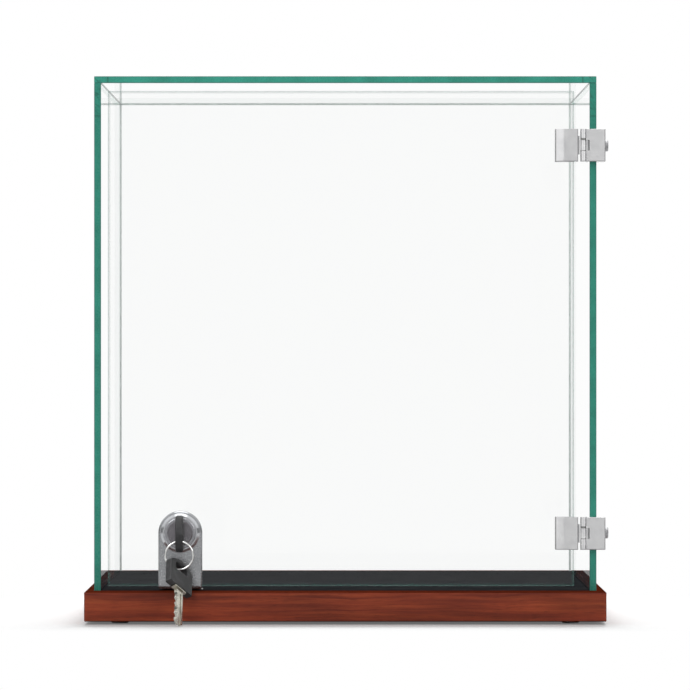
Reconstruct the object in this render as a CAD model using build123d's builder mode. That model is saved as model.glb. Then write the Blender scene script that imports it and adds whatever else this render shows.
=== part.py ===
from build123d import *
from math import acos, cos, radians, sin
import os

# A countertop display case: a frameless glass box on a wood base, with a glass door on two clamp
# hinges and a clamp-on lock with its key. Millimetres, +Z up. The origin is on the counter, under
# the middle of the base board. The door is at the front, which looks along -Y, and hangs on the
# right, at +X.

os.makedirs("parts", exist_ok=True)

# Base board and feet
base_thickness = 20.6
base_edge = 0.6
foot_height = 2.0
foot_diameter = 12.0
foot_inset = 24.0
foot_edge = 0.5

# Glass box
glass = 4.8
glass_edge = 0.35
case_width = 350.0
case_depth = 334.0
case_height = 358.4
front_margin = 22.0
back_margin = 6.0
side_margin = 6.0
groove_depth = 4.0
groove_clearance = 0.3

# Deck inside the case
deck_thickness = 3.0
deck_clearance = 0.2

# Door
door_gap_left = 4.8
door_gap_right = 10.8
door_gap_top = 5.5
door_gap_bottom = 3.2
door_recess = 0.4

# Hinges
hinge_height = 22.7
hinge_from_top = 37.9
hinge_from_bottom = 36.7
hinge_proud = 4.0
axis_inward = 9.2
axis_forward = 1.7
knuckle_diameter = 4.4
knuckle_height = 7.0
pin_diameter = 2.0
pin_clearance = 0.05
upper_washer = 1.5
lower_washer = 0.4
strap_thickness = 2.2
strap_clearance = 0.3
edge_clearance = 0.3
side_pad = 0.8
side_cheek = 5.3
side_reach = 18.0
notch_width = 1.7
door_pad = 0.5
door_cheek = 3.0
door_leaf_width = 15.8
door_leaf_web = 2.4
crown_length = 7.2
crown_drop = 2.1
arm_height = 12.9
arm_thickness = 2.4
arm_clearance = 0.3
leaf_edge = 0.5
pad_margin = 0.9

# Screws of the hinges
clamp_screw_diameter = 4.0
clamp_head_diameter = 7.9
clamp_head_height = 2.5
clamp_screw_setback = 9.5
clamp_socket_size = 3.4
clamp_socket_depth = 1.5
set_screw_diameter = 4.0
set_screw_spacing = 12.0
set_screw_inset = 6.2
set_screw_proud = 0.4
set_socket_size = 2.0
set_socket_depth = 1.6
thread_clearance = 0.05

# Lock bracket and cylinder
lock_from_edge = 50.4
lock_above_edge = 37.0
bracket_width = 30.4
bracket_plate = 2.0
bracket_edge = 0.8
bracket_bend = 2.3
lock_pad = 0.4
lock_pad_margin = 1.2
bezel_flange = 2.8
bezel_height = 2.4
bezel_rim = 0.9
bezel_slope = 1.7
housing_diameter = 21.6
housing_proud = 4.0
housing_wall = 2.0
housing_lip = 0.7
housing_length = 32.0
seat_clearance = 0.1
glass_hole_clearance = 1.2
plug_clearance = 0.1
plug_proud = 0.4
plug_ring_width = 0.5
plug_ring_depth = 0.3
plug_ring_inset = 1.3
keyway_width = 2.4
keyway_height = 7.6
keyway_end = 3.0

# Lock body behind the glass, with the bolt
body_width = 27.0
body_floor_gap = 1.6
body_edge = 1.0
cam_margin = 0.7
cam_thickness = 2.0
cam_clearance = 0.2
cam_pocket_clearance = 0.8
drive_radius = 4.5
drive_angle = 45.0
drive_pin_diameter = 2.4
drive_slot_clearance = 0.3
bolt_thickness = 3.0
bolt_width = 10.0
bolt_head_width = 16.0
bolt_head_height = 7.4
bolt_clearance = 0.3
cover_thickness = 1.5
cam_screw_diameter = 2.0
cam_screw_head = 3.6
cam_screw_head_height = 0.9
cam_screw_length = 6.0
cam_screw_inset = 2.8
cover_screw_diameter = 2.0
cover_screw_head = 3.8
cover_screw_head_height = 1.2
cover_screw_length = 6.5
cover_screw_inset = 2.6
cover_screw_low = 10.0
cover_screw_end = 0.3
screw_slot = 0.6
screw_slot_depth = 0.5

# Strike plate in the deck
strike_length = 30.0
strike_width = 11.0
strike_thickness = 1.0
strike_clearance = 0.7
strike_depth = 7.0
strike_screw_spacing = 21.0

# Keys and split ring
blade_length = 29.0
blade_height = 7.0
blade_thickness = 2.0
blade_groove = 0.5
blade_groove_height = 1.6
blade_tip = 2.4
tang_length = 9.0
cut_depth = 1.4
cut_width = 2.0
cut_pitch = 4.2
cut_depths = (0.5, 1.0, 0.75, 0.5, 1.0)
first_cut = 7.0
collar_length = 1.2
collar_width = 13.0
collar_thickness = 4.2
collar_gap = 0.8
bow_length = 23.0
bow_width = 25.0
bow_thickness = 5.2
bow_arch = 5.5
bow_edge = 1.2
slot_height = 5.3
slot_length = 13.0
slot_corner = 1.6
bow_bar = 4.4
ring_diameter = 20.5
ring_wire = 1.3
ring_pitch = 1.4
ring_turns = 1.9
ring_drop = 5.35
spare_turn = 55.0
spare_tip_height = 1.75
spare_slack = 2.1

# Places worked out from the sizes
base_width = case_width + 2 * side_margin
base_depth = front_margin + case_depth + back_margin
base_bottom = foot_height
base_top = base_bottom + base_thickness
case_front = -base_depth / 2 + front_margin
case_back = case_front + case_depth
case_half = case_width / 2
inner_half = case_half - glass
inner_back = case_back - glass
case_top = base_top + case_height
panel_top = case_top - glass
panel_bottom = base_top - groove_depth

door_left = -inner_half + door_gap_left
door_right = inner_half - door_gap_right
door_bottom = base_top + door_gap_bottom
door_top = panel_top - door_gap_top
door_front = case_front + door_recess
door_back = door_front + glass

axis_x = case_half - axis_inward
axis_y = case_front - axis_forward
knuckle_radius = knuckle_diameter / 2
pin_bore = pin_diameter + 2 * pin_clearance
leaf_front = case_front - hinge_proud
web_left = axis_x + knuckle_radius + strap_clearance
web_back = case_front - edge_clearance
side_leaf_back = case_front + side_reach
inner_pad_face = inner_half - side_pad
outer_pad_face = case_half + side_pad
side_leaf_right = outer_pad_face + side_cheek
clamp_screw_y = case_front + clamp_screw_setback
door_web_left = door_right + edge_clearance
door_leaf_right = door_web_left + door_leaf_web
door_leaf_left = door_leaf_right - door_leaf_width
front_pad_face = door_front - door_pad
back_pad_face = door_back + door_pad
door_leaf_back = back_pad_face + door_cheek
arm_right = axis_x - knuckle_radius - arm_clearance
set_screw_x = door_leaf_left + set_screw_inset
hinge_centres = {"upper": door_top - hinge_from_top, "lower": door_bottom + hinge_from_bottom}

lock_x = door_left + lock_from_edge
lock_z = door_bottom + lock_above_edge
bracket_half = bracket_width / 2
front_leg_back = door_front - lock_pad
front_leg_front = front_leg_back - bracket_plate
back_leg_front = door_back + lock_pad
back_leg_back = back_leg_front + bracket_plate
bracket_web_top = door_bottom - edge_clearance
bracket_bottom = bracket_web_top - bracket_plate
housing_bore = housing_diameter - 2 * housing_wall
housing_front = front_leg_front - housing_proud
housing_back = housing_front + housing_length
housing_seat = housing_diameter + 2 * seat_clearance
bezel_diameter = housing_diameter + 2 * bezel_flange
plug_diameter = housing_bore - 2 * plug_clearance
plug_front = housing_front - plug_proud
plug_back = housing_back + cam_clearance
keyway_back = plug_back - keyway_end
cam_diameter = plug_diameter - 2 * cam_margin
cam_screw_radius = cam_diameter / 2 - cam_screw_inset
cam_back = plug_back + cam_thickness
bolt_front = cam_back + bolt_clearance
bolt_back = bolt_front + bolt_thickness
body_back = bolt_back + bolt_clearance
cover_back = body_back + cover_thickness
body_bottom = base_top + body_floor_gap
bolt_y = (bolt_front + bolt_back) / 2
drive_x = lock_x + drive_radius * cos(radians(drive_angle))
drive_z = lock_z + drive_radius * sin(radians(drive_angle))
bolt_throw = 2 * drive_radius * sin(radians(drive_angle))
cover_screw_x = body_width / 2 - cover_screw_inset

key_root_y = plug_front - collar_gap - collar_length
bow_end = -bow_length
slot_middle = bow_end + bow_bar + slot_height / 2
rim_width = (bow_width - slot_length) / 2
ring_y = key_root_y + slot_middle
rim_middle_z = lock_z - bow_width / 2 + rim_width / 2
ring_z = rim_middle_z - ring_drop
ring_radius = (ring_diameter - ring_wire) / 2
spare_pivot_z = ring_z - ring_radius
spare_reach = bow_length - bow_bar - spare_slack
spare_tip_reach = spare_reach + collar_length + blade_length


def front_plane(y):
    """The upright plane at y that looks at the viewer: x to the right, up is up."""
    return Plane(origin=(0, y, 0), x_dir=(1, 0, 0), z_dir=(0, -1, 0))


def box_between(low, high, mode=Mode.ADD):
    """A box from its lowest corner to its highest one, inside the part being made."""
    with Locations(tuple((start + end) / 2 for start, end in zip(low, high))):
        Box(*(end - start for start, end in zip(low, high)), mode=mode)


def arch_outline(width, bottom):
    """The face of the lock's plates: straight sides from bottom to a half-round top."""
    with Locations((lock_x, lock_z)):
        Circle(width / 2)
    with Locations((lock_x, (lock_z + bottom) / 2)):
        Rectangle(width, lock_z - bottom)


def round_from(y, diameter, length, mode=Mode.ADD, x=lock_x, z=lock_z):
    """A round bar or bore along the lock's axis, from y towards the viewer."""
    with BuildSketch(front_plane(y)) as circle:
        with Locations((x, z)):
            Circle(diameter / 2)
    extrude(circle.sketch, amount=length, mode=mode)


# Base board, with a groove for the three glass walls, a shallow bed for the deck and a pocket for
# the bolt
with BuildPart() as base_board:
    with BuildSketch(Plane.XY.offset(base_bottom)):
        Rectangle(base_width, base_depth)
    extrude(amount=base_thickness)
    chamfer(base_board.edges(), base_edge)
    groove_low = panel_bottom
    groove_front = case_front - groove_clearance
    groove_back = case_back + groove_clearance
    groove_outer = case_half + groove_clearance
    groove_inner = inner_half - groove_clearance
    for side in (-1, 1):
        near, far = sorted((side * groove_inner, side * groove_outer))
        box_between((near, groove_front, groove_low), (far, groove_back, base_top), Mode.SUBTRACT)
    back_low = (-groove_outer, inner_back - groove_clearance, groove_low)
    box_between(back_low, (groove_outer, groove_back, base_top), Mode.SUBTRACT)
    bed_low = (-inner_half, case_front, base_top - deck_thickness)
    box_between(bed_low, (inner_half, inner_back, base_top), Mode.SUBTRACT)
    with BuildSketch(Plane.XY.offset(base_top)):
        with Locations((lock_x, bolt_y)):
            Rectangle(bolt_width + 2 * strike_clearance, bolt_thickness + 2 * strike_clearance)
    extrude(amount=-strike_depth, mode=Mode.SUBTRACT)

with BuildPart() as rubber_feet:
    with BuildSketch():
        with GridLocations(base_width - 2 * foot_inset, base_depth - 2 * foot_inset, 2, 2):
            Circle(foot_diameter / 2)
    extrude(amount=foot_height)
    chamfer(rubber_feet.faces().filter_by(Plane.XY).group_by(Axis.Z)[0].edges(), foot_edge)

# Glass box: two side walls, a back wall between them and a lid that lies on all three
side_panels = {}
for name, side in (("left_glass_panel", -1), ("right_glass_panel", 1)):
    with BuildPart() as side_panel:
        near, far = sorted((side * inner_half, side * case_half))
        box_between((near, case_front, panel_bottom), (far, case_back, panel_top))
        chamfer(side_panel.faces().sort_by(Axis.Y)[0].edges().filter_by(Axis.Z), glass_edge)
    side_panels[name] = side_panel

with BuildPart() as back_glass_panel:
    box_between((-inner_half, inner_back, panel_bottom), (inner_half, case_back, panel_top))

with BuildPart() as top_glass_panel:
    box_between((-case_half, case_front, panel_top), (case_half, case_back, case_top))
    chamfer(top_glass_panel.edges(), glass_edge)

# Black deck that fills the floor of the case
with BuildPart() as deck_panel:
    deck_low = (-inner_half + deck_clearance, case_front + deck_clearance, base_top - deck_thickness)
    box_between(deck_low, (inner_half - deck_clearance, inner_back - deck_clearance, base_top))
    strike_corner = (strike_length / 2 + deck_clearance, strike_width / 2 + deck_clearance)
    strike_low = (lock_x - strike_corner[0], bolt_y - strike_corner[1], base_top - strike_thickness)
    strike_high = (lock_x + strike_corner[0], bolt_y + strike_corner[1], base_top)
    box_between(strike_low, strike_high, Mode.SUBTRACT)
    with BuildSketch(Plane.XY.offset(base_top)):
        with Locations((lock_x, bolt_y)):
            Rectangle(bolt_width + 2 * strike_clearance, bolt_thickness + 2 * strike_clearance)
        with Locations((lock_x, bolt_y)):
            with GridLocations(strike_screw_spacing, 0, 2, 1):
                Circle(cam_screw_diameter / 2 + thread_clearance)
    extrude(amount=-deck_thickness, mode=Mode.SUBTRACT)

with BuildPart() as strike_plate:
    with BuildSketch(Plane.XY.offset(base_top - strike_thickness)):
        with Locations((lock_x, bolt_y)):
            RectangleRounded(strike_length, strike_width, strike_width / 4)
            Rectangle(
                bolt_width + 2 * strike_clearance,
                bolt_thickness + 2 * strike_clearance,
                mode=Mode.SUBTRACT,
            )
    extrude(amount=strike_thickness)
    with Locations((lock_x, bolt_y, base_top)):
        with GridLocations(strike_screw_spacing, 0, 2, 1):
            CounterSinkHole(
                radius=cam_screw_diameter / 2 + thread_clearance,
                counter_sink_radius=cam_screw_head / 2 + thread_clearance,
            )


def countersunk_screw(diameter, head, head_height, length):
    """Profile of a countersunk screw about the sketch's y axis, head flat at y = 0, tip below."""
    with BuildLine() as outline:
        Polyline(
            (0, 0),
            (head / 2, 0),
            (diameter / 2, -head_height),
            (diameter / 2, -length),
            (0, -length),
            close=True,
        )
    make_face(outline.edges())


with BuildPart() as strike_screws:
    for side in (-1, 1):
        screw_x = lock_x + side * strike_screw_spacing / 2
        upright = Plane(origin=(screw_x, bolt_y, base_top), x_dir=(1, 0, 0), z_dir=(0, -1, 0))
        with BuildSketch(upright):
            countersunk_screw(
                cam_screw_diameter, cam_screw_head, cam_screw_head_height, deck_thickness
            )
        revolve(axis=Axis((screw_x, bolt_y, 0), (0, 0, 1)))
        with BuildSketch(Plane(origin=(screw_x, bolt_y, base_top), x_dir=(1, 0.6, 0))):
            Rectangle(cam_screw_head, screw_slot)
        extrude(amount=-screw_slot_depth, mode=Mode.SUBTRACT)

# Glass door, drilled for the lock cylinder
with BuildPart() as door_glass:
    box_between((door_left, door_front, door_bottom), (door_right, door_back, door_top))
    chamfer(door_glass.edges(), glass_edge)
    round_from(door_back, housing_diameter + 2 * glass_hole_clearance, glass, Mode.SUBTRACT)


def hinge_plane(centre):
    """The level plane at the foot of a hinge whose middle is at this height."""
    return Plane.XY.offset(centre - hinge_height / 2)


def knuckle(low, high):
    """A barrel of the hinge from one height to another, about the hinge axis."""
    with Locations((axis_x, axis_y, (low + high) / 2)):
        Cylinder(knuckle_radius, high - low)


def side_leaf(centre):
    """The leaf that clamps round the front edge of the right glass wall."""
    low, high = centre - hinge_height / 2, centre + hinge_height / 2
    middle_low, middle_high = centre - knuckle_height / 2, centre + knuckle_height / 2
    strap_front = web_back - strap_thickness
    with BuildPart() as leaf:
        box_between((web_left, leaf_front, low), (side_leaf_right, web_back, high))
        box_between((outer_pad_face, web_back, low), (side_leaf_right, side_leaf_back, high))
        fillet(leaf.edges().filter_by(Axis.Z).group_by(Axis.X)[-1], leaf_edge)
        fillet(leaf.faces().sort_by(Axis.Y)[0].edges().filter_by(Axis.X), leaf_edge / 2)
        box_between((web_left, web_back, low), (inner_pad_face, side_leaf_back, high))
        notch_low = (web_left, leaf_front, middle_low - lower_washer / 2)
        notch_high = (web_left + notch_width, web_back + edge_clearance, middle_high + lower_washer / 2)
        box_between(notch_low, notch_high, Mode.SUBTRACT)
        for start, end in ((low, middle_low - lower_washer), (middle_high + upper_washer, high)):
            knuckle(start, end)
            box_between((axis_x, strap_front, start), (web_left + leaf_edge, web_back, end))
        with BuildSketch(hinge_plane(centre)):
            with Locations((axis_x, axis_y)):
                Circle(pin_bore / 2)
        extrude(amount=hinge_height, mode=Mode.SUBTRACT)
        with BuildSketch(Plane.YZ.offset(outer_pad_face)):
            with Locations((clamp_screw_y, centre)):
                Circle(clamp_screw_diameter / 2 + thread_clearance)
        extrude(amount=side_cheek, mode=Mode.SUBTRACT)
    return leaf


def door_leaf(centre):
    """The leaf that clamps round the door's right edge, with the middle knuckle."""
    middle_low, middle_high = centre - knuckle_height / 2, centre + knuckle_height / 2
    arm_front, arm_back = axis_y - arm_thickness / 2, axis_y + arm_thickness / 2
    crown_start = (door_leaf_left + crown_length, leaf_front)
    crown_end = (door_leaf_left, leaf_front + crown_drop)
    with BuildPart() as leaf:
        with BuildSketch(hinge_plane(centre)):
            with BuildLine():
                TangentArc(crown_start, crown_end, tangent=(-1, 0))
                Polyline(
                    crown_end,
                    (door_leaf_left, front_pad_face),
                    (door_web_left, front_pad_face),
                    (door_web_left, back_pad_face),
                    (door_leaf_left, back_pad_face),
                    (door_leaf_left, door_leaf_back),
                    (door_leaf_right, door_leaf_back),
                    (door_leaf_right, leaf_front),
                    crown_start,
                )
            make_face()
        extrude(amount=hinge_height)
        fillet(leaf.edges().filter_by(Axis.Z).group_by(Axis.X)[-1], leaf_edge)
        arm_low = (door_leaf_right - leaf_edge, arm_front, centre - arm_height / 2)
        box_between(arm_low, (arm_right, arm_back, centre + arm_height / 2))
        box_between((arm_right, arm_front, middle_low), (axis_x, arm_back, middle_high))
        knuckle(middle_low, middle_high)
        with BuildSketch(hinge_plane(centre)):
            with Locations((axis_x, axis_y)):
                Circle(pin_bore / 2)
        extrude(amount=hinge_height, mode=Mode.SUBTRACT)
        with BuildSketch(front_plane(door_leaf_back)):
            with Locations((set_screw_x, centre)):
                with GridLocations(0, set_screw_spacing, 1, 2):
                    Circle(set_screw_diameter / 2 + thread_clearance)
        extrude(amount=door_cheek, mode=Mode.SUBTRACT)
    return leaf


def hinge_pin(centre):
    """The pin through the three knuckles of a hinge."""
    with BuildPart() as pin:
        with BuildSketch(hinge_plane(centre)):
            with Locations((axis_x, axis_y)):
                Circle(pin_diameter / 2)
        extrude(amount=hinge_height)
        chamfer(pin.edges().filter_by(GeomType.CIRCLE), pin_clearance * 4)
    return pin


hinge_pieces = {}
for place, centre in hinge_centres.items():
    hinge_pieces[f"{place}_hinge_side_leaf"] = side_leaf(centre)
    hinge_pieces[f"{place}_hinge_door_leaf"] = door_leaf(centre)
    hinge_pieces[f"{place}_hinge_pin"] = hinge_pin(centre)

with BuildPart() as hinge_washers:
    for centre in hinge_centres.values():
        for low, thickness in (
            (centre + knuckle_height / 2, upper_washer),
            (centre - knuckle_height / 2 - lower_washer, lower_washer),
        ):
            with BuildSketch(Plane.XY.offset(low)):
                with Locations((axis_x, axis_y)):
                    Circle(knuckle_radius - leaf_edge / 5)
                    Circle(pin_bore / 2, mode=Mode.SUBTRACT)
            extrude(amount=thickness)

with BuildPart() as hinge_clamp_screws:
    for centre in hinge_centres.values():
        with BuildSketch(Plane.YZ.offset(outer_pad_face)):
            with Locations((clamp_screw_y, centre)):
                Circle(clamp_screw_diameter / 2)
        extrude(amount=side_cheek)
        with BuildSketch(Plane.YZ.offset(side_leaf_right)):
            with Locations((clamp_screw_y, centre)):
                Circle(clamp_head_diameter / 2)
        extrude(amount=clamp_head_height)
        with BuildSketch(Plane.YZ.offset(side_leaf_right + clamp_head_height)):
            with Locations((clamp_screw_y, centre)):
                RegularPolygon(clamp_socket_size / 2, 6)
        extrude(amount=-clamp_socket_depth, mode=Mode.SUBTRACT)
    heads = hinge_clamp_screws.edges().filter_by(GeomType.CIRCLE).group_by(Axis.X)[-1]
    chamfer(heads, leaf_edge)

with BuildPart() as hinge_set_screws:
    for centre in hinge_centres.values():
        with BuildSketch(front_plane(door_leaf_back + set_screw_proud)):
            with Locations((set_screw_x, centre)):
                with GridLocations(0, set_screw_spacing, 1, 2):
                    Circle(set_screw_diameter / 2)
        extrude(amount=door_cheek + set_screw_proud)
        with BuildSketch(front_plane(door_leaf_back + set_screw_proud)):
            with Locations((set_screw_x, centre)):
                with GridLocations(0, set_screw_spacing, 1, 2):
                    RegularPolygon(set_socket_size / 2, 6)
        extrude(amount=set_socket_depth, mode=Mode.SUBTRACT)

with BuildPart() as side_hinge_pads:
    for centre in hinge_centres.values():
        low, high = centre - hinge_height / 2 + pad_margin, centre + hinge_height / 2 - pad_margin
        front, back = case_front + pad_margin, side_leaf_back - pad_margin
        box_between((inner_pad_face, front, low), (inner_half, back, high))
        box_between((case_half, front, low), (outer_pad_face, back, high))

with BuildPart() as door_hinge_pads:
    for centre in hinge_centres.values():
        low, high = centre - hinge_height / 2 + pad_margin, centre + hinge_height / 2 - pad_margin
        left, right = door_leaf_left + pad_margin, door_right - pad_margin
        box_between((left, front_pad_face, low), (right, door_front, high))
        box_between((left, door_back, low), (right, back_pad_face, high))

# Lock bracket: one strip bent under the door's edge, with an arch-shaped leg on each face
with BuildPart() as lock_bracket:
    with BuildSketch(Plane.YZ.offset(lock_x - bracket_half)):
        with BuildLine():
            FilletPolyline(
                (front_leg_front, lock_z + bracket_half),
                (front_leg_front, bracket_bottom),
                (back_leg_back, bracket_bottom),
                (back_leg_back, lock_z + bracket_half),
                radius=bracket_bend,
            )
            Polyline(
                (back_leg_back, lock_z + bracket_half),
                (back_leg_front, lock_z + bracket_half),
                (back_leg_front, bracket_web_top),
                (front_leg_back, bracket_web_top),
                (front_leg_back, lock_z + bracket_half),
                (front_leg_front, lock_z + bracket_half),
            )
        make_face()
    extrude(amount=bracket_width)
    with BuildSketch(front_plane(back_leg_back)):
        arch_outline(bracket_width, bracket_bottom)
    extrude(amount=back_leg_back - front_leg_front, mode=Mode.INTERSECT)
    round_from(back_leg_back, housing_seat, back_leg_back - front_leg_front, Mode.SUBTRACT)
    front_rim = lock_bracket.faces().sort_by(Axis.Y)[0].outer_wire().edges()
    chamfer(front_rim.sort_by(Axis.Z)[1:], bracket_edge)

with BuildPart() as lock_pads:
    for y in (door_front, back_leg_front):
        with BuildSketch(front_plane(y)):
            arch_outline(bracket_width - 2 * lock_pad_margin, door_bottom + lock_pad_margin)
            with Locations((lock_x, lock_z)):
                Circle(housing_diameter / 2 + glass_hole_clearance, mode=Mode.SUBTRACT)
        extrude(amount=lock_pad)

# Bezel, cylinder housing and plug, turned about the lock's axis
with BuildPart() as lock_bezel:
    with BuildSketch(Plane.XY.offset(lock_z)):
        with BuildLine():
            Polyline(
                (lock_x + housing_seat / 2, front_leg_front),
                (lock_x + bezel_diameter / 2, front_leg_front),
                (lock_x + bezel_diameter / 2, front_leg_front - bezel_rim),
                (lock_x + bezel_diameter / 2 - bezel_slope, front_leg_front - bezel_height),
                (lock_x + housing_seat / 2, front_leg_front - bezel_height),
                close=True,
            )
        make_face()
    revolve(axis=Axis((lock_x, 0, lock_z), (0, 1, 0)))

with BuildPart() as cylinder_housing:
    round_from(housing_back, housing_diameter, housing_length)
    fillet(cylinder_housing.edges().sort_by(Axis.Y)[0], housing_lip)
    round_from(housing_back, housing_bore, housing_length, Mode.SUBTRACT)

with BuildPart() as lock_plug:
    round_from(plug_back, plug_diameter, plug_back - plug_front)
    chamfer(lock_plug.edges().sort_by(Axis.Y)[0], plug_ring_depth)
    ring_outer = plug_diameter - 2 * plug_ring_inset
    with BuildSketch(front_plane(plug_front)):
        with Locations((lock_x, lock_z)):
            Circle(ring_outer / 2)
            Circle(ring_outer / 2 - plug_ring_width, mode=Mode.SUBTRACT)
    extrude(amount=-plug_ring_depth, mode=Mode.SUBTRACT)
    with BuildSketch(front_plane(plug_front)):
        with Locations((lock_x, lock_z)):
            Rectangle(keyway_width, keyway_height)
    extrude(amount=plug_front - keyway_back, mode=Mode.SUBTRACT)
    with BuildSketch(front_plane(plug_back)):
        with Locations((lock_x, lock_z)):
            with PolarLocations(cam_screw_radius, 2, start_angle=90 + drive_angle):
                Circle(cam_screw_diameter / 2 + thread_clearance)
    extrude(amount=cam_screw_length - cam_thickness + thread_clearance, mode=Mode.SUBTRACT)

# Cam on the back of the plug, with the pin that drives the bolt
with BuildPart() as lock_cam:
    round_from(cam_back, cam_diameter, cam_thickness)
    pin_length = body_back - cam_back - bolt_clearance
    round_from(cam_back + pin_length, drive_pin_diameter, pin_length, x=drive_x, z=drive_z)
    with Locations(Plane(origin=(lock_x, cam_back, lock_z), x_dir=(-1, 0, 0), z_dir=(0, 1, 0))):
        with PolarLocations(cam_screw_radius, 2, start_angle=90 - drive_angle):
            CounterSinkHole(
                radius=cam_screw_diameter / 2 + thread_clearance,
                counter_sink_radius=cam_screw_head / 2 + thread_clearance,
                depth=cam_thickness,
            )

with BuildPart() as cam_screws:
    for side in (-1, 1):
        screw_x = lock_x - side * cam_screw_radius * sin(radians(drive_angle))
        screw_z = lock_z + side * cam_screw_radius * cos(radians(drive_angle))
        axis_plane = Plane(origin=(screw_x, cam_back, screw_z), x_dir=(1, 0, 0), z_dir=(0, 0, 1))
        with BuildSketch(axis_plane):
            countersunk_screw(
                cam_screw_diameter, cam_screw_head, cam_screw_head_height, cam_screw_length
            )
        revolve(axis=Axis((screw_x, 0, screw_z), (0, 1, 0)))
        with BuildSketch(front_plane(cam_back)):
            with Locations((screw_x, screw_z)):
                Rectangle(cam_screw_head, screw_slot)
        extrude(amount=screw_slot_depth, mode=Mode.SUBTRACT)

# Bolt: a wide head with a cross slot for the cam's pin, and a stem that drops into the deck
with BuildPart() as lock_bolt:
    with BuildSketch(front_plane(bolt_back)):
        with Locations((lock_x, drive_z)):
            Rectangle(bolt_head_width, bolt_head_height)
        with Locations((lock_x, (body_bottom + drive_z) / 2)):
            Rectangle(bolt_width, drive_z - body_bottom)
        slot_left = drive_x - lock_x - drive_pin_diameter / 2 - drive_slot_clearance
        slot_right = drive_radius + drive_pin_diameter / 2 + drive_slot_clearance
        with Locations((lock_x + (slot_left + slot_right) / 2, drive_z)):
            Rectangle(
                slot_right - slot_left,
                drive_pin_diameter + 2 * drive_slot_clearance,
                mode=Mode.SUBTRACT,
            )
    extrude(amount=bolt_thickness)
    chamfer(lock_bolt.faces().sort_by(Axis.Z)[0].edges(), leaf_edge)

# Lock body behind the glass: it holds the housing's back end, the cam and the sliding bolt
with BuildPart() as lock_body:
    with BuildSketch(front_plane(body_back)):
        arch_outline(body_width, body_bottom)
    extrude(amount=body_back - back_leg_back)
    round_from(housing_back, housing_seat, housing_back - back_leg_back, Mode.SUBTRACT)
    pocket_diameter = cam_diameter + 2 * cam_pocket_clearance
    round_from(body_back, pocket_diameter, body_back - housing_back, Mode.SUBTRACT)
    head_low = drive_z - bolt_throw - bolt_head_height / 2 - bolt_clearance
    head_high = drive_z + bolt_head_height / 2 + bolt_clearance
    with BuildSketch(front_plane(body_back)):
        with Locations((lock_x, (head_low + head_high) / 2)):
            Rectangle(bolt_head_width + 2 * bolt_clearance, head_high - head_low)
        with Locations((lock_x, (body_bottom + lock_z) / 2)):
            Rectangle(bolt_width + 2 * bolt_clearance, lock_z - body_bottom)
    extrude(amount=body_back - bolt_front + bolt_clearance, mode=Mode.SUBTRACT)
    with BuildSketch(front_plane(body_back)):
        with Locations((lock_x, (body_bottom + cover_screw_low + lock_z) / 2)):
            with GridLocations(2 * cover_screw_x, lock_z - body_bottom - cover_screw_low, 2, 2):
                Circle(cover_screw_diameter / 2 + thread_clearance)
    screw_hole_depth = cover_screw_length - cover_thickness + cover_screw_end
    extrude(amount=screw_hole_depth, mode=Mode.SUBTRACT)

with BuildPart() as lock_body_cover:
    with BuildSketch(front_plane(cover_back)):
        arch_outline(body_width, body_bottom)
        with Locations((lock_x, (body_bottom + cover_screw_low + lock_z) / 2)):
            with GridLocations(2 * cover_screw_x, lock_z - body_bottom - cover_screw_low, 2, 2):
                Circle(cover_screw_diameter / 2 + thread_clearance, mode=Mode.SUBTRACT)
    extrude(amount=cover_thickness)
    back_rim = lock_body_cover.faces().sort_by(Axis.Y)[-1].outer_wire().edges()
    chamfer(back_rim, body_edge / 2)

with BuildPart() as cover_screws:
    screw_middle = (lock_x, (body_bottom + cover_screw_low + lock_z) / 2)
    screw_rows = lock_z - body_bottom - cover_screw_low
    with BuildSketch(front_plane(cover_back)):
        with Locations(screw_middle):
            with GridLocations(2 * cover_screw_x, screw_rows, 2, 2):
                Circle(cover_screw_diameter / 2)
    extrude(amount=cover_screw_length)
    with BuildSketch(front_plane(cover_back + cover_screw_head_height)):
        with Locations(screw_middle):
            with GridLocations(2 * cover_screw_x, screw_rows, 2, 2):
                Circle(cover_screw_head / 2)
    extrude(amount=cover_screw_head_height)
    heads = cover_screws.edges().filter_by(GeomType.CIRCLE).group_by(Axis.Y)[-1]
    fillet(heads, cover_screw_head_height / 2)
    with BuildSketch(front_plane(cover_back + cover_screw_head_height)):
        with Locations(screw_middle):
            with GridLocations(2 * cover_screw_x, screw_rows, 2, 2):
                Rectangle(cover_screw_head, screw_slot)
    extrude(amount=screw_slot_depth, mode=Mode.SUBTRACT)


# One key lying flat: x runs to the tip of its steel blade, from 0 where the bow ends
with BuildPart() as flat_blade:
    blade_half = blade_height / 2
    tip = collar_length + blade_length
    with BuildSketch():
        with BuildLine():
            Polyline(
                (-tang_length, -blade_half),
                (tip - blade_tip, -blade_half),
                (tip, -blade_half + blade_tip),
                (tip, blade_half - blade_tip / 2),
                (tip - blade_tip / 2, blade_half),
                (-tang_length, blade_half),
                close=True,
            )
        make_face()
        for number, depth_share in enumerate(cut_depths):
            depth = cut_depth * depth_share
            middle = first_cut + number * cut_pitch
            with BuildLine():
                Polyline(
                    (middle - cut_width, -blade_half),
                    (middle - cut_width / 4, -blade_half + depth),
                    (middle + cut_width / 4, -blade_half + depth),
                    (middle + cut_width, -blade_half),
                    close=True,
                )
            make_face(mode=Mode.SUBTRACT)
    extrude(amount=blade_thickness / 2, both=True)
    groove_length = blade_length - first_cut / 2
    for face_side in (-1, 1):
        with BuildSketch(Plane.XY.offset(face_side * (blade_thickness - blade_groove) / 2)):
            with Locations((tip - groove_length / 2, blade_groove_height / 2)):
                Rectangle(groove_length, blade_groove_height)
        extrude(amount=blade_groove / 2, both=True, mode=Mode.SUBTRACT)
    with BuildSketch(Plane.YZ):
        RectangleRounded(collar_width, collar_thickness, bow_edge)
    extrude(amount=collar_length)

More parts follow.
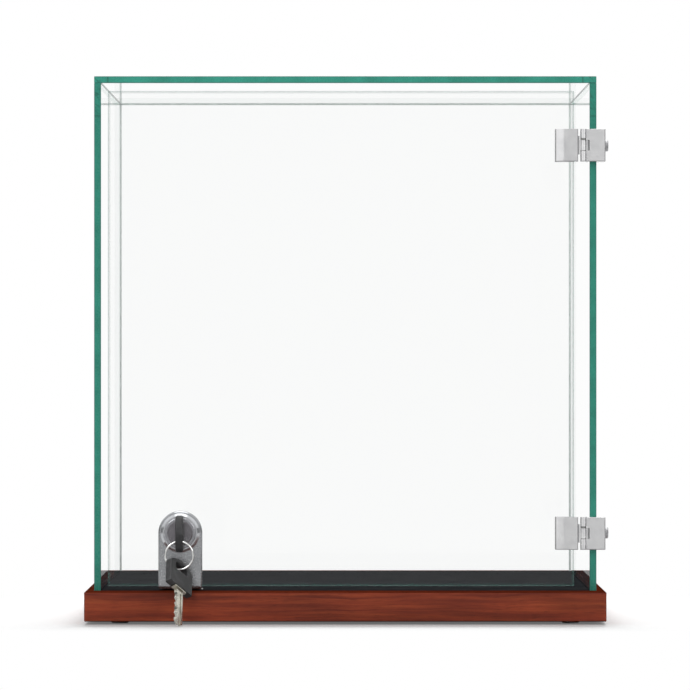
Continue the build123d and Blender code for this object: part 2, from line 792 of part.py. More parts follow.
# Its moulded bow, over the blade's tang, with a slot for the ring near the end
with BuildPart() as flat_bow:
    bow_half = bow_width / 2
    with BuildSketch():
        with BuildLine():
            Polyline(
                (bow_end + bow_arch, -bow_half),
                (0, -bow_half),
                (0, bow_half),
                (bow_end + bow_arch, bow_half),
            )
            ThreePointArc(
                (bow_end + bow_arch, bow_half), (bow_end, 0), (bow_end + bow_arch, -bow_half)
            )
        make_face()
        with Locations((slot_middle, 0)):
            RectangleRounded(slot_height, slot_length, slot_corner, mode=Mode.SUBTRACT)
    extrude(amount=bow_thickness / 2, both=True)
    root_edges = flat_bow.faces().sort_by(Axis.X)[-1].edges()
    fillet(flat_bow.edges() - root_edges - flat_bow.edges().filter_by(Axis.Z), bow_edge)
    with BuildSketch():
        with Locations((-tang_length / 2, 0)):
            Rectangle(tang_length, blade_height)
    extrude(amount=blade_thickness / 2, both=True, mode=Mode.SUBTRACT)


def placed(flat_piece, plane):
    """A copy of a piece of the flat key, in its place on this plane."""
    with BuildPart() as piece:
        add(flat_piece.part.moved(plane.location))
    return piece


# The key in the lock points straight in, its bow upright
key_plane = Plane(origin=(lock_x, key_root_y, lock_z), x_dir=(0, 1, 0), z_dir=(1, 0, 0))
key_blade = placed(flat_blade, key_plane)
key_bow = placed(flat_bow, key_plane)

# The split ring hangs from the slot of that bow, level with its lower rim
with BuildPart() as split_ring:
    ring_height = ring_pitch * ring_turns
    with BuildLine() as ring_line:
        Helix(
            pitch=ring_pitch,
            height=ring_height,
            radius=ring_radius,
            center=(lock_x, ring_y + ring_height / 2, ring_z),
            direction=(0, -1, 0),
        )
    with BuildSketch(Plane(origin=ring_line.line @ 0, z_dir=ring_line.line % 0)):
        Circle(ring_wire / 2)
    sweep(is_frenet=True)

# The spare key hangs from the bottom of the ring and leans towards the viewer, tip on the counter
lean = acos(min(1.0, (spare_pivot_z - spare_tip_height) / spare_tip_reach))
turn = radians(spare_turn)
spare_axis = Vector(0, -sin(lean), -cos(lean))
spare_normal = Vector(sin(turn), -cos(turn) * cos(lean), cos(turn) * sin(lean))
spare_pivot = Vector(lock_x, ring_y, spare_pivot_z)
spare_plane = Plane(
    origin=spare_pivot + spare_axis * spare_reach, x_dir=spare_axis, z_dir=spare_normal
)
spare_key_blade = placed(flat_blade, spare_plane)
spare_key_bow = placed(flat_bow, spare_plane)

pieces = {
    "base_board": base_board,
    "rubber_feet": rubber_feet,
    **side_panels,
    "back_glass_panel": back_glass_panel,
    "top_glass_panel": top_glass_panel,
    "deck_panel": deck_panel,
    "strike_plate": strike_plate,
    "strike_screws": strike_screws,
    "door_glass": door_glass,
    **hinge_pieces,
    "hinge_washers": hinge_washers,
    "hinge_clamp_screws": hinge_clamp_screws,
    "hinge_set_screws": hinge_set_screws,
    "side_hinge_pads": side_hinge_pads,
    "door_hinge_pads": door_hinge_pads,
    "lock_bracket": lock_bracket,
    "lock_pads": lock_pads,
    "lock_bezel": lock_bezel,
    "cylinder_housing": cylinder_housing,
    "lock_plug": lock_plug,
    "lock_cam": lock_cam,
    "cam_screws": cam_screws,
    "lock_bolt": lock_bolt,
    "lock_body": lock_body,
    "lock_body_cover": lock_body_cover,
    "cover_screws": cover_screws,
    "key_blade": key_blade,
    "key_bow": key_bow,
    "split_ring": split_ring,
    "spare_key_blade": spare_key_blade,
    "spare_key_bow": spare_key_bow,
}
for name, piece in pieces.items():
    piece.part.label = name
    export_step(piece.part, f"parts/{name}.step")
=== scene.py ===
import math

import bmesh
import bpy
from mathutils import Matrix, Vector


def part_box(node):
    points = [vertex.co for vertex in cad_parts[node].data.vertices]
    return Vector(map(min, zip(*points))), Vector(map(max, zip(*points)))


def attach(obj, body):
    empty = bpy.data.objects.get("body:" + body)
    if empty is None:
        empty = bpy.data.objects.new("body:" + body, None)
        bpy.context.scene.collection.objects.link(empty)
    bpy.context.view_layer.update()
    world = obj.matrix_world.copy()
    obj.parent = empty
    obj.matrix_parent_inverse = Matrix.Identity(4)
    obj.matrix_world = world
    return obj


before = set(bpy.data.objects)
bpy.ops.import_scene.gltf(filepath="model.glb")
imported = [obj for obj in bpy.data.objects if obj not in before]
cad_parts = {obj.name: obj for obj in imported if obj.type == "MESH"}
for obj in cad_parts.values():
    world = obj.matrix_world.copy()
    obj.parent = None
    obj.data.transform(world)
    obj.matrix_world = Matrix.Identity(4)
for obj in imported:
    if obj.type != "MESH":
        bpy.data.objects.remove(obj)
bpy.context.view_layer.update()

X, Y, Z = 0, 1, 2

# Camera, in the frame of the photograph, which is level with the middle of the case
CAMERA_PLACE = (-0.0002, -3.921, 0.1937)
CAMERA_LENS = 281.7
SENSOR_WIDTH = 36.0

# Light level: the world lights the object from all sides and lamps add the rest
AMBIENT = 0.45
LAMPS = {
    "key_lamp": {"place": (-1.7, -2.3, 2.3), "size": 1.5, "watts": 44.0},
    "fill_lamp": {"place": (2.1, -2.0, 1.3), "size": 1.2, "watts": 17.0},
    "top_lamp": {"place": (0.0, 0.2, 2.5), "size": 1.8, "watts": 26.0},
    "back_lamp": {"place": (0.6, 2.6, 1.9), "size": 1.2, "watts": 18.0},
    "floor_lamp": {"place": (0.0, 3.2, 1.3), "size": 1.8, "watts": 225.0},
}
LAMP_AIM = (0.0, 0.0, 0.18)
FLOOR_LAMP = "floor_lamp"
OBJECT_LAMPS = ("key_lamp", "fill_lamp", "top_lamp")

# Floor: it keeps the shadow out to the first distance from the base board and is plain white
# from the second
FLOOR_HALF = 40.0
SHADOW_INNER = 0.02
SHADOW_OUTER = 0.09
SHADOW_SHARE = 0.86

# Cards that only metal and glass mirror, as (lowest corner, highest corner, grey)
CARDS = {
    "wall_card": ((-0.9, -6.5, 0.0), (0.9, -6.5, 1.2), 0.60),
    "front_card": ((-0.9, -6.5, 0.002), (0.9, -0.3, 0.002), 0.60),
    "left_flag": ((-1.5, -0.95, 0.0), (-1.5, 2.5, 0.48), 0.08),
    "right_flag": ((1.5, -0.95, 0.0), (1.5, 2.5, 0.48), 0.08),
}


def mesh_object(name, vertices, faces):
    """A new mesh object in the row frame."""
    mesh = bpy.data.meshes.new(name)
    mesh.from_pydata(vertices, [], faces)
    mesh.update()
    made = bpy.data.objects.new(name, mesh)
    bpy.context.scene.collection.objects.link(made)
    return made


class Surface:
    """A material, with short words for the nodes that it is made of."""

    def __init__(self, name):
        self.material = bpy.data.materials.new(name)
        self.material.use_nodes = True
        self.tree = self.material.node_tree
        self.tree.nodes.clear()
        coordinates = self.node("TexCoord")
        self.point = coordinates.outputs["Object"]
        self.normal = coordinates.outputs["Normal"]

    def node(self, kind, inputs=None, **settings):
        """A node of this kind, with its settings, and values or links on its inputs."""
        made = self.tree.nodes.new("ShaderNode" + kind)
        for key, value in settings.items():
            setattr(made, key, value)
        for key, value in (inputs or {}).items():
            if isinstance(value, bpy.types.NodeSocket):
                self.tree.links.new(value, made.inputs[key])
            else:
                made.inputs[key].default_value = value
        return made

    def math(self, operation, first, second=0.0):
        return self.node("Math", {0: first, 1: second}, operation=operation).outputs[0]

    def smallest(self, values):
        result = values[0]
        for value in values[1:]:
            result = self.math("MINIMUM", result, value)
        return result

    def axes(self, vector):
        """The x, y and z of a vector."""
        return self.node("SeparateXYZ", {0: vector}).outputs[:]

    def vector(self, x, y, z=0.0):
        return self.node("CombineXYZ", {0: x, 1: y, 2: z}).outputs[0]

    def scaled(self, vector, factors):
        inputs = {0: vector, 1: factors}
        return self.node("VectorMath", inputs, operation="MULTIPLY").outputs[0]

    def noise(self, vector, scale=1.0, detail=3.0, roughness=0.5):
        """Soft noise from about 0.3 to 0.7, at a scale in cells per metre."""
        inputs = {"Vector": vector, "Scale": scale, "Detail": detail, "Roughness": roughness}
        return self.node("TexNoise", inputs).outputs["Fac"]

    def ranged(self, value, start, end, low=0.0, high=1.0):
        """value moved from start and end to low and high, and kept between them."""
        inputs = {"Value": value, "From Min": start, "From Max": end, "To Min": low, "To Max": high}
        return self.node("MapRange", inputs, clamp=True).outputs["Result"]

    def ramp(self, value, *stops):
        """A colour for each value, through stops of (value, colour)."""
        made = self.node("ValToRGB", {"Fac": value})
        elements = made.color_ramp.elements
        while len(elements) < len(stops):
            elements.new(0.5)
        for element, (position, colour) in zip(elements, stops):
            element.position = position
            element.color = (*colour, 1.0)
        return made.outputs["Color"]

    def mixed(self, share, first, second, blend="MIX"):
        """Two colours mixed by share."""
        made = self.node("Mix", data_type="RGBA", blend_type=blend)
        factor, colour_a, colour_b = made.inputs[0], made.inputs[6], made.inputs[7]
        for socket, value in ((factor, share), (colour_a, first), (colour_b, second)):
            if isinstance(value, bpy.types.NodeSocket):
                self.tree.links.new(value, socket)
            else:
                socket.default_value = value if socket == factor else (*value, 1.0)
        return made.outputs[2]

    def blended(self, share, first, second):
        """Two shaders mixed by share."""
        return self.node("MixShader", {0: share, 1: first, 2: second}).outputs[0]

    def bump(self, height, depth):
        """A normal bent by height, where a height of 1 is this depth in metres."""
        inputs = {"Height": height, "Distance": depth, "Strength": 1.0}
        return self.node("Bump", inputs).outputs["Normal"]

    def principled(self, **inputs):
        """The main shader; Base_Color stands for its Base Color input, and so on."""
        named = {key.replace("_", " "): value for key, value in inputs.items()}
        if isinstance(named.get("Base Color"), tuple):
            named["Base Color"] = (*named["Base Color"], 1.0)
        return self.node("BsdfPrincipled", named).outputs[0]

    def finish(self, shader):
        self.node("OutputMaterial", {"Surface": shader})
        return self.material


def show(material, *nodes):
    """Gives a material to CAD nodes or pieces."""
    for item in nodes:
        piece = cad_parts[item] if isinstance(item, str) else item
        piece.data.materials.clear()
        piece.data.materials.append(material)


# Stage: camera, world, lamps, floor and cards
def make_camera():
    camera = bpy.data.objects.new("camera", bpy.data.cameras.new("camera"))
    camera.data.sensor_width = SENSOR_WIDTH
    camera.data.lens = CAMERA_LENS
    camera.data.clip_end = 100.0
    camera.location = CAMERA_PLACE
    camera.rotation_euler = (math.radians(90), 0.0, 0.0)
    bpy.context.scene.collection.objects.link(camera)
    bpy.context.scene.camera = camera


def seen_rays(tree):
    """1 for rays from the camera and rays mirrored or let through on their way to it."""
    path = tree.nodes.new("ShaderNodeLightPath")
    total = path.outputs["Is Camera Ray"]
    for name in ("Is Glossy Ray", "Is Transmission Ray"):
        largest = tree.nodes.new("ShaderNodeMath")
        largest.operation = "MAXIMUM"
        tree.links.new(total, largest.inputs[0])
        tree.links.new(path.outputs[name], largest.inputs[1])
        total = largest.outputs[0]
    return total


def make_world():
    world = bpy.data.worlds.new("studio")
    world.use_nodes = True
    tree = world.node_tree
    tree.nodes.clear()
    ambient = tree.nodes.new("ShaderNodeBackground")
    ambient.inputs["Color"].default_value = (1, 1, 1, 1)
    ambient.inputs["Strength"].default_value = AMBIENT
    backdrop = tree.nodes.new("ShaderNodeBackground")
    backdrop.inputs["Color"].default_value = (1, 1, 1, 1)
    backdrop.inputs["Strength"].default_value = 1.0
    mix = tree.nodes.new("ShaderNodeMixShader")
    tree.links.new(seen_rays(tree), mix.inputs[0])
    tree.links.new(ambient.outputs[0], mix.inputs[1])
    tree.links.new(backdrop.outputs[0], mix.inputs[2])
    output = tree.nodes.new("ShaderNodeOutputWorld")
    tree.links.new(mix.outputs[0], output.inputs["Surface"])
    bpy.context.scene.world = world


def make_lamp(name, place, size, watts):
    data = bpy.data.lights.new(name, "AREA")
    data.shape = "SQUARE"
    data.size = size
    data.energy = watts
    lamp = bpy.data.objects.new(name, data)
    lamp.location = place
    aim = Vector(LAMP_AIM) - Vector(place)
    lamp.rotation_euler = aim.to_track_quat("-Z", "Y").to_euler()
    bpy.context.scene.collection.objects.link(lamp)


def make_floor():
    """White floor that keeps a soft shadow near the base board and is plain white further out."""
    size = FLOOR_HALF
    corners = [(-size, -size, 0), (size, -size, 0), (size, size, 0), (-size, size, 0)]
    floor = mesh_object("floor", corners, [(0, 1, 2, 3)])
    paint = Surface("floor_white")
    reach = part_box("base_board")[1]
    x, y, _ = paint.axes(paint.point)
    past_x, past_y = (
        paint.math("MAXIMUM", paint.math("SUBTRACT", paint.math("ABSOLUTE", place), limit), 0.0)
        for place, limit in ((x, reach.x), (y, reach.y))
    )
    past = paint.vector(past_x, past_y)
    distance = paint.node("VectorMath", {0: past}, operation="LENGTH").outputs["Value"]
    plain = paint.ranged(distance, SHADOW_INNER, SHADOW_OUTER, 1.0 - SHADOW_SHARE, 1.0)
    lit = paint.node("BsdfDiffuse", {"Color": (1, 1, 1, 1)}).outputs[0]
    glow = paint.node("Emission", {"Strength": 1.0}).outputs[0]
    seen = paint.math("MULTIPLY", seen_rays(paint.tree), plain)
    show(paint.finish(paint.blended(seen, lit, glow)), floor)


def make_card(name, low, high, grey):
    """A flat card that only mirror rays meet."""
    if low[0] == high[0]:
        corners = [low, (low[0], high[1], low[2]), high, (low[0], low[1], high[2])]
    else:
        corners = [low, (high[0], low[1], low[2]), high, (low[0], high[1], high[2])]
    card = mesh_object(name, corners, [(0, 1, 2, 3)])
    card.visible_camera = False
    card.visible_diffuse = False
    card.visible_transmission = False
    card.visible_shadow = False
    paint = Surface(name + "_grey")
    glow = paint.node("Emission", {"Color": (1, 1, 1, 1), "Strength": grey})
    show(paint.finish(glow.outputs[0]), card)


def link_lamps():
    """One lamp behind lights the floor alone, so that the shadow falls to the front, and the
    lamps over the object leave the floor to it."""
    floor = bpy.data.objects["floor"]
    for name, state, lamps in (
        ("floor_alone", "INCLUDE", (FLOOR_LAMP,)),
        ("all_but_floor", "EXCLUDE", OBJECT_LAMPS),
    ):
        group = bpy.data.collections.new(name)
        group.objects.link(floor)
        group.collection_objects[0].light_linking.link_state = state
        for lamp_name in lamps:
            bpy.data.objects[lamp_name].light_linking.receiver_collection = group


# Materials
def lacquered_wood():
    """Red-brown wood: long streaks along each face, darker patches, fine pores and lacquer, and
    painted shade that darkens the top.
    """
    paint = Surface("lacquered_wood")
    x, y, z = paint.axes(paint.point)
    normal_x, _, normal_z = paint.axes(paint.normal)
    on_side = paint.math("GREATER_THAN", paint.math("ABSOLUTE", normal_x), 0.7)
    on_top = paint.math("GREATER_THAN", paint.math("ABSOLUTE", normal_z), 0.7)
    across_y = paint.math("SUBTRACT", y, x)
    along = paint.math("ADD", x, paint.math("MULTIPLY", on_side, across_y))
    up_or_in = paint.math("SUBTRACT", y, z)
    across = paint.math("ADD", z, paint.math("MULTIPLY", on_top, up_or_in))
    depth = paint.math("MULTIPLY", on_side, 3.7)
    drift = paint.noise(paint.scaled(paint.vector(along, across, depth), (11, 38, 1)), detail=2)
    drift = paint.math("MULTIPLY", paint.math("SUBTRACT", drift, 0.5), 0.007)
    grain = paint.vector(along, paint.math("ADD", across, drift), depth)
    streaks = paint.noise(paint.scaled(grain, (9, 230, 1)), detail=6, roughness=0.62)
    lines = paint.noise(paint.scaled(grain, (22, 900, 1)), detail=3, roughness=0.6)
    patches = paint.noise(paint.scaled(grain, (9, 60, 1)), detail=3)
    pores = paint.noise(paint.scaled(grain, (110, 2600, 1)), detail=1)
    colour = paint.ramp(
        streaks,
        (0.30, (0.125, 0.020, 0.010)),
        (0.43, (0.180, 0.028, 0.012)),
        (0.54, (0.245, 0.041, 0.015)),
        (0.72, (0.320, 0.064, 0.021)),
    )
    shade = paint.ranged(patches, 0.34, 0.66, 0.66, 1.16)
    fine = paint.ranged(lines, 0.35, 0.65, 0.86, 1.10)
    pits = paint.ranged(pores, 0.60, 0.70, 1.0, 0.62)
    tone = paint.math("MULTIPLY", paint.math("MULTIPLY", shade, fine), pits)
    # Painted shade: the top faces take 0.42 of the tone of the other faces.
    tone = paint.math("MULTIPLY", tone, paint.ranged(on_top, 0.0, 1.0, 1.0, 0.42))
    colour = paint.mixed(1.0, colour, paint.vector(tone, tone, tone), "MULTIPLY")
    height = paint.math("ADD", paint.math("MULTIPLY", pits, 0.7), paint.math("MULTIPLY", lines, 0.3))
    gloss = paint.ranged(streaks, 0.3, 0.7, 0.52, 0.38)
    return paint.finish(
        paint.principled(
            Base_Color=colour,
            Roughness=paint.math("ADD", gloss, paint.math("MULTIPLY", on_top, 0.35)),
            Specular_IOR_Level=paint.ranged(on_top, 0.0, 1.0, 0.18, 0.0),
            Normal=paint.bump(height, 0.00004),
        )
    )


def pale_rubber():
    """Pale soft rubber of the feet, with a fine grain and dust."""
    paint = Surface("pale_rubber")
    grain = paint.noise(paint.point, 1800, 4, 0.6)
    dust = paint.noise(paint.point, 160, 3)
    colour = paint.mixed(paint.ranged(dust, 0.45, 0.7), (0.62, 0.62, 0.62), (0.48, 0.48, 0.47))
    return paint.finish(
        paint.principled(
            Base_Color=colour,
            Roughness=paint.ranged(grain, 0.3, 0.7, 0.70, 0.88),
            Normal=paint.bump(grain, 0.00005),
        )
    )


# Plate glass: colours of the cut edges, and how clear and how mirror-like the faces are
EDGE_DEEP = (0.023, 0.215, 0.155)
EDGE_LIGHT = (0.032, 0.272, 0.198)
EDGE_RIM = (0.044, 0.160, 0.138)
EDGE_MARK = (0.010, 0.090, 0.064)
RIM_WIDTH = 0.0009
MARK_WIDTH = 0.0009
MARK_STRENGTH = 0.7
GLASS_TINT = (0.992, 0.994, 0.993)
GLASS_MIRROR = 0.03
# How clear a cut edge is when it is seen from inside its plate
INNER_CLEAR = 0.7

# The axis and place where dark marks begin on the edges of the sides and the lid
SIDE_MARKS = (Z, 0.3533)
LID_MARKS = (X, 0.1655)

# Each plate: the axis across it, and what sets it apart from a plain plate
PLATES = {
    "left_glass_panel": {"thin": X, "marks": SIDE_MARKS},
    "right_glass_panel": {"thin": X, "marks": SIDE_MARKS},
    "back_glass_panel": {"thin": Y},
    "top_glass_panel": {"thin": Z, "core": EDGE_LIGHT, "marks": LID_MARKS},
    "door_glass": {"thin": Y, "band": (0.0020, 0.24), "slope": 0.6},
}


def edge_marks(paint, point, axis, start):
    """Where a cut edge has dark marks: slanting ones near the plate's ends, past start on this
    axis, and a short one across the edge at start."""
    reach = paint.math("ABSOLUTE", point[axis])
    slants = paint.vector(
        paint.math("ADD", point[X], point[Z]),
        paint.math("SUBTRACT", point[Z], point[X]),
    )
    # Noise stretched along the two slants; where it is high, the edge takes a dark mark.
    slant_noise = paint.noise(paint.scaled(slants, (520, 110, 1)), detail=3)
    spots = paint.ranged(slant_noise, 0.55, 0.64)
    spots = paint.math("MULTIPLY", spots, paint.ranged(reach, start, start + 0.006))
    away = paint.math("ABSOLUTE", paint.math("SUBTRACT", reach, start))
    line = paint.ranged(away, 0.0, MARK_WIDTH, 1.0, 0.0)
    return paint.math("MULTIPLY", paint.math("MAXIMUM", spots, line), MARK_STRENGTH)


def edge_glass(paint, point, to_skin, core, marks):
    """The green of a cut edge, with greyer rims and a few dark marks."""
    cloud = paint.noise(paint.point, 70, 3)
    tone = paint.ranged(cloud, 0.35, 0.65, 0.88, 1.12)
    colour = paint.mixed(1.0, core, paint.vector(tone, tone, tone), "MULTIPLY")
    colour = paint.mixed(paint.ranged(to_skin, 0.0, RIM_WIDTH, 1.0, 0.0), colour, EDGE_RIM)
    if marks is not None:
        colour = paint.mixed(edge_marks(paint, point, *marks), colour, EDGE_MARK)
    wear = paint.noise(paint.point, 900, 4, 0.6)
    return paint.principled(
        Base_Color=colour,
        Roughness=paint.ranged(wear, 0.3, 0.7, 0.20, 0.36),
        Specular_IOR_Level=0.3,
        Normal=paint.bump(wear, 0.00002),
    )


def clear_glass(paint):
    """The clear face of a plate. Its mirror grows towards a grazing view, and only the side that
    a ray enters by mirrors it."""
    facing = paint.node("LayerWeight", {"Blend": 0.5}).outputs["Facing"]
    share = paint.ranged(paint.math("POWER", facing, 5.0), 0.0, 1.0, GLASS_MIRROR, 1.0)
    leaving = paint.node("NewGeometry").outputs["Backfacing"]
    share = paint.math("MULTIPLY", share, paint.math("SUBTRACT", 1.0, leaving))
    smear = paint.noise(paint.point, 14, 3)
    inputs = {
        "Color": (1, 1, 1, 1),
        "Roughness": paint.ranged(smear, 0.35, 0.65, 0.0, 0.02),
        "Normal": paint.bump(smear, 0.000004),
    }
    gloss = paint.node("BsdfAnisotropic", inputs).outputs[0]
    clear = paint.node("BsdfTransparent", {"Color": (*GLASS_TINT, 1.0)}).outputs[0]
    return paint.blended(share, clear, gloss)


def plate_glass(node, thin, core=EDGE_DEEP, marks=None, band=(0.0006, 0.08), slope=0.93):
    """Clear plate glass. thin is the axis across the plate: faces whose normal is within slope of
    it are clear, and the others show the green of the cut edge. band is how far from an edge, and
    how much, the green shows in a face. marks is the axis and place where dark marks begin."""
    low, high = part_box(node)
    paint = Surface(node + "_glass")
    point = paint.axes(paint.point)
    on_face = paint.math("ABSOLUTE", paint.axes(paint.normal)[thin])
    on_face = paint.math("GREATER_THAN", on_face, slope)
    spans = {
        axis: (
            paint.math("SUBTRACT", point[axis], low[axis]),
            paint.math("SUBTRACT", high[axis], point[axis]),
        )
        for axis in (X, Y, Z)
    }
    to_skin = paint.smallest(spans.pop(thin))
    to_side = paint.smallest([span for pair in spans.values() for span in pair])
    edge = edge_glass(paint, point, to_skin, core, marks)
    width, strength = band
    near = paint.ranged(to_side, 0.0, width, strength, 0.0)
    face = paint.blended(near, clear_glass(paint), edge)
    inside = paint.node("NewGeometry").outputs["Backfacing"]
    clear = paint.math("MAXIMUM", on_face, paint.math("MULTIPLY", inside, INNER_CLEAR))
    return paint.finish(paint.blended(clear, edge, face))


def black_deck():
    """Matt black laminate with a fine grain and a trace of dust."""
    paint = Surface("black_deck")
    grain = paint.noise(paint.point, 2400, 4, 0.6)
    dust = paint.noise(paint.point, 45, 5, 0.6)
    colour = paint.mixed(paint.ranged(dust, 0.4, 0.75), (0.016, 0.017, 0.019), (0.027, 0.028, 0.030))
    return paint.finish(
        paint.principled(
            Base_Color=colour,
            Roughness=paint.ranged(grain, 0.3, 0.7, 0.78, 0.92),
            Specular_IOR_Level=0.0,
            Normal=paint.bump(grain, 0.000015),
        )
    )


# Metals other than the hinge leaves', and the CAD nodes that they are on
METALS = {
    "pin_steel": {
        "nodes": ("upper_hinge_pin", "lower_hinge_pin"),
        "colour": (0.66, 0.66, 0.67),
        "dark": (0.50, 0.50, 0.51),
        "roughness": (0.18, 0.30),
        "grain_size": 1800,
        "stretch": (1, 1, 0.1),
    },
    "screw_steel": {
        "nodes": (
            "hinge_set_screws",
            "strike_screws",
            "cam_screws",
            "cover_screws",
            "lock_cam",
            "lock_bolt",
        ),
        "colour": (0.62, 0.62, 0.63),
        "dark": (0.44, 0.44, 0.45),
        "roughness": (0.26, 0.40),
        "grain_size": 2200,
    },
    "clamp_screw_steel": {
        "nodes": ("hinge_clamp_screws",),
        "colour": (0.38, 0.38, 0.39),
        "dark": (0.28, 0.28, 0.29),
        "roughness": (0.26, 0.38),
        "grain_size": 2200,
        "shine": 0.7,
    },
    "strike_steel": {
        "nodes": ("strike_plate",),
        "colour": (0.60, 0.60, 0.61),
        "dark": (0.48, 0.48, 0.49),
        "roughness": (0.28, 0.40),
        "grain_size": 900,
        "stretch": (0.1, 1, 1),
    },
    "dark_chrome": {
        "nodes": ("lock_bracket",),
        "colour": (0.43, 0.44, 0.455),
        "dark": (0.34, 0.35, 0.36),
        "roughness": (0.18, 0.30),
        "grain_size": 1300,
        "shine": 0.8,
    },
    "bright_chrome": {
        "nodes": ("lock_bezel",),
        "colour": (0.58, 0.59, 0.61),
        "dark": (0.44, 0.45, 0.47),
        "roughness": (0.14, 0.24),
        "grain_size": 1500,
        "shine": 0.75,
    },
    "housing_chrome": {
        "nodes": ("cylinder_housing",),
        "colour": (0.40, 0.40, 0.42),
        "dark": (0.30, 0.30, 0.32),
        "roughness": (0.12, 0.24),
        "grain_size": 1500,
    },
    "plug_chrome": {
        "nodes": ("lock_plug",),
        "colour": (0.24, 0.23, 0.245),
        "dark": (0.17, 0.16, 0.175),
        "roughness": (0.16, 0.28),
        "grain_size": 1700,
    },
    "lock_zinc": {
        "nodes": ("lock_body", "lock_body_cover"),
        "colour": (0.56, 0.56, 0.58),
        "dark": (0.44, 0.44, 0.46),
        "roughness": (0.34, 0.48),
        "grain_size": 1200,
    },
    "ring_steel": {
        "nodes": ("split_ring",),
        "colour": (0.80, 0.80, 0.79),
        "dark": (0.60, 0.60, 0.59),
        "roughness": (0.08, 0.18),
        "grain_size": 1500,
    },
    "key_nickel": {
        "nodes": ("key_blade", "spare_key_blade"),
        "colour": (0.50, 0.48, 0.42),
        "dark": (0.24, 0.23, 0.20),
        "roughness": (0.14, 0.26),
        "grain_size": 1400,
    },
}


def metal(name, colour, dark, roughness, grain_size, stretch=(1, 1, 1), shine=1.0):
    """Metal with a fine grain, stretched where it is brushed, and clouds of a darker tone. A
    satin finish has a lower shine."""
    paint = Surface(name)
    grain = paint.noise(paint.scaled(paint.point, stretch), grain_size, 4, 0.6)
    cloud = paint.noise(paint.point, 120, 4, 0.6)
    smooth, rough = roughness
    return paint.finish(
        paint.principled(
            Base_Color=paint.mixed(paint.ranged(cloud, 0.38, 0.75), colour, dark),
            Metallic=shine,
            Roughness=paint.ranged(grain, 0.3, 0.7, smooth, rough),
            Normal=paint.bump(grain, 0.00001),
        )
    )


# Hinge leaves: their metal, the painted shade along their edges, and where the flat front of a door
# leaf ends at the hinge's barrel
SATIN = (0.80, 0.80, 0.805)
SATIN_DARK = (0.69, 0.69, 0.70)
SATIN_SHINE = 0.8
# Colour and width of the painted shade along the leaf edges
LEAF_EDGE_SHADE_COLOUR = (0.20, 0.20, 0.205)
LEAF_EDGE_SHADE_WIDTH = 0.0008
LEAF_FRONT_END = 0.1621


def satin_leaf(node, edges):
    """Satin nickel of a hinge leaf. Its front has painted shade along the bottom and along these
    edges
    in x: a dark line that stands in for the dark reflections in the small broken corners."""
    paint = Surface(node + "_satin")
    grain = paint.noise(paint.point, 2600, 4, 0.6)
    cloud = paint.noise(paint.point, 120, 4, 0.6)
    colour = paint.mixed(paint.ranged(cloud, 0.38, 0.75), SATIN, SATIN_DARK)
    x, _, z = paint.axes(paint.point)
    spans = [paint.math("ABSOLUTE", paint.math("SUBTRACT", x, edge)) for edge in edges]
    spans.append(paint.math("SUBTRACT", z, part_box(node)[0].z))
    # Painted shade: a dark line near the leaf's edges and bottom, on front-facing faces only.
    painted_edge_shade = paint.ranged(paint.smallest(spans), 0.0002, LEAF_EDGE_SHADE_WIDTH, 0.85, 0.0)
    to_front = paint.math("ABSOLUTE", paint.axes(paint.normal)[Y])
    painted_edge_shade = paint.math("MULTIPLY", painted_edge_shade, paint.ranged(to_front, 0.3, 0.6))
    return paint.finish(
        paint.principled(
            Base_Color=paint.mixed(painted_edge_shade, colour, LEAF_EDGE_SHADE_COLOUR),
            Metallic=SATIN_SHINE,
            Roughness=paint.ranged(grain, 0.3, 0.7, 0.13, 0.22),
            Normal=paint.bump(grain, 0.00001),
        )
    )


def smooth_nylon():
    """Dark grey nylon of the hinge washers."""
    paint = Surface("smooth_nylon")
    grain = paint.noise(paint.point, 2200, 3)
    return paint.finish(
        paint.principled(
            Base_Color=paint.mixed(grain, (0.16, 0.16, 0.16), (0.24, 0.24, 0.235)),
            Roughness=paint.ranged(grain, 0.3, 0.7, 0.35, 0.5),
            Normal=paint.bump(grain, 0.00001),
        )
    )


def clamp_pad():
    """Grey clear vinyl between metal and glass."""
    paint = Surface("clamp_pad")
    grain = paint.noise(paint.point, 1500, 3)
    return paint.finish(
        paint.principled(
            Base_Color=paint.mixed(grain, (0.30, 0.33, 0.33), (0.44, 0.47, 0.47)),
            Roughness=paint.ranged(grain, 0.3, 0.7, 0.45, 0.62),
            Normal=paint.bump(grain, 0.00002),
        )
    )


def moulded_plastic():
    """Black moulded plastic of the key bows, with a fine spark texture and rubbed high spots."""
    paint = Surface("moulded_plastic")
    spark = paint.noise(paint.point, 3800, 3, 0.7)
    rub = paint.noise(paint.point, 140, 4, 0.6)
    colour = paint.mixed(paint.ranged(rub, 0.48, 0.72), (0.011, 0.011, 0.012), (0.036, 0.036, 0.038))
    return paint.finish(
        paint.principled(
            Base_Color=colour,
            Roughness=paint.ranged(spark, 0.3, 0.7, 0.40, 0.60),
            Normal=paint.bump(spark, 0.00003),
        )
    )


def glue_seam(name, thick, thin):
    """Clear glue in the glass joints, drawn as an opaque grey-green line whose greys are set per
    joint as painted light and shade.
    """
    paint = Surface(name)
    flow = paint.noise(paint.point, 220, 3)
    return paint.finish(
        paint.principled(
            Base_Color=paint.mixed(flow, thick, thin),
            Roughness=paint.ranged(flow, 0.3, 0.7, 0.18, 0.3),
            Normal=paint.bump(flow, 0.00004),
        )
    )


# Glue beads along the inner corners of the glass
BEAD = 0.0008
BEAD_STEPS = 6
BEAD_SETBACK = 0.0006
# Greys of the glue, thick and thin: a lighter copy for the back joints and a darker copy for the lid
# joints. This is painted light and shade, set for how the light falls on each joint.
BACK_GLUE_LIT = ((0.55, 0.61, 0.59), (0.68, 0.73, 0.71))
TOP_GLUE_SHADED = ((0.17, 0.20, 0.19), (0.26, 0.30, 0.285))


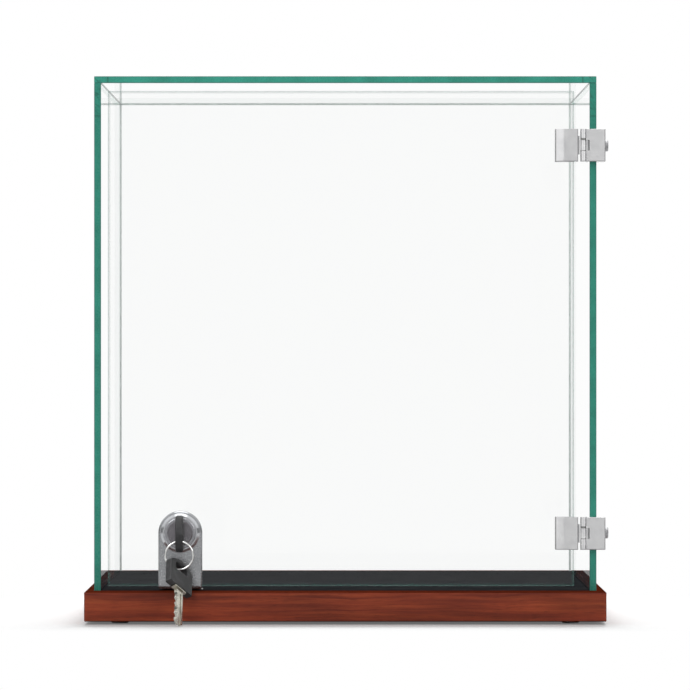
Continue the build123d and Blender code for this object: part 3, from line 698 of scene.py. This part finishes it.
def bead_outline(first, second):
    """The section of a bead with a hollow face, whose legs lie along first and second."""
    centre = (first + second) * BEAD
    outline = [Vector((0, 0, 0))]
    for step in range(BEAD_STEPS + 1):
        angle = math.radians(90) * step / BEAD_STEPS
        outline.append(centre - first * BEAD * math.sin(angle) - second * BEAD * math.cos(angle))
    return outline


def glue_bead(name, corner, run, first, second, glue):
    """A bead that follows the run from a corner of the glass."""
    outline = bead_outline(Vector(first), Vector(second))
    count = len(outline)
    start, end = Vector(corner), Vector(corner) + Vector(run)
    vertices = [start + spot for spot in outline] + [end + spot for spot in outline]
    faces = [(i, (i + 1) % count, count + (i + 1) % count, count + i) for i in range(count)]
    faces += [tuple(reversed(range(count))), tuple(range(count, 2 * count))]
    bead = mesh_object(name, vertices, faces)
    work = bmesh.new()
    work.from_mesh(bead.data)
    bmesh.ops.recalc_face_normals(work, faces=work.faces)
    work.to_mesh(bead.data)
    work.free()
    show(glue, bead)
    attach(bead, "case")


def make_beads():
    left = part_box("left_glass_panel")[1].x
    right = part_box("right_glass_panel")[0].x
    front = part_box("left_glass_panel")[0].y + BEAD_SETBACK
    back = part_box("back_glass_panel")[0].y
    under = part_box("top_glass_panel")[0].z
    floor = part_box("deck_panel")[1].z
    upward = (0, 0, under - floor)
    across = (right - left, 0, 0)
    inward = (0, back - front, 0)
    to_right, to_left, to_front, down = (1, 0, 0), (-1, 0, 0), (0, -1, 0), (0, 0, -1)
    # The back joints take the lighter copy of the glue, and the lid joints take the painted-shade
    # copy.
    back_glue_lit = glue_seam("back_glue_lit", *BACK_GLUE_LIT)
    top_glue_shaded = glue_seam("top_glue_shaded", *TOP_GLUE_SHADED)
    glue_bead("glue_back_left", (left, back, floor), upward, to_right, to_front, back_glue_lit)
    glue_bead("glue_back_right", (right, back, floor), upward, to_left, to_front, back_glue_lit)
    glue_bead("glue_back_top", (left, back, under), across, to_front, down, back_glue_lit)
    glue_bead("glue_left_top", (left, front, under), inward, to_right, down, top_glue_shaded)
    glue_bead("glue_right_top", (right, front, under), inward, to_left, down, top_glue_shaded)


def make_stage():
    make_camera()
    make_world()
    for name, lamp in LAMPS.items():
        make_lamp(name, **lamp)
    make_floor()
    link_lamps()
    for name, (low, high, grey) in CARDS.items():
        make_card(name, low, high, grey)


def dress_hinge_leaves():
    for hinge in ("upper_hinge", "lower_hinge"):
        door_leaf, side_leaf = hinge + "_door_leaf", hinge + "_side_leaf"
        show(satin_leaf(door_leaf, (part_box(door_leaf)[0].x, LEAF_FRONT_END)), door_leaf)
        show(satin_leaf(side_leaf, (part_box(side_leaf)[1].x,)), side_leaf)


def dress():
    """Gives every CAD node its material."""
    show(lacquered_wood(), "base_board")
    show(pale_rubber(), "rubber_feet")
    show(black_deck(), "deck_panel")
    for node, plate in PLATES.items():
        show(plate_glass(node, **plate), node)
    dress_hinge_leaves()
    for name, kind in METALS.items():
        look = {key: value for key, value in kind.items() if key != "nodes"}
        show(metal(name, **look), *kind["nodes"])
    show(smooth_nylon(), "hinge_washers")
    show(clamp_pad(), "side_hinge_pads", "door_hinge_pads", "lock_pads")
    show(moulded_plastic(), "key_bow", "spare_key_bow")


make_stage()
dress()
make_beads()
bpy.context.scene.view_settings.view_transform = "Standard"
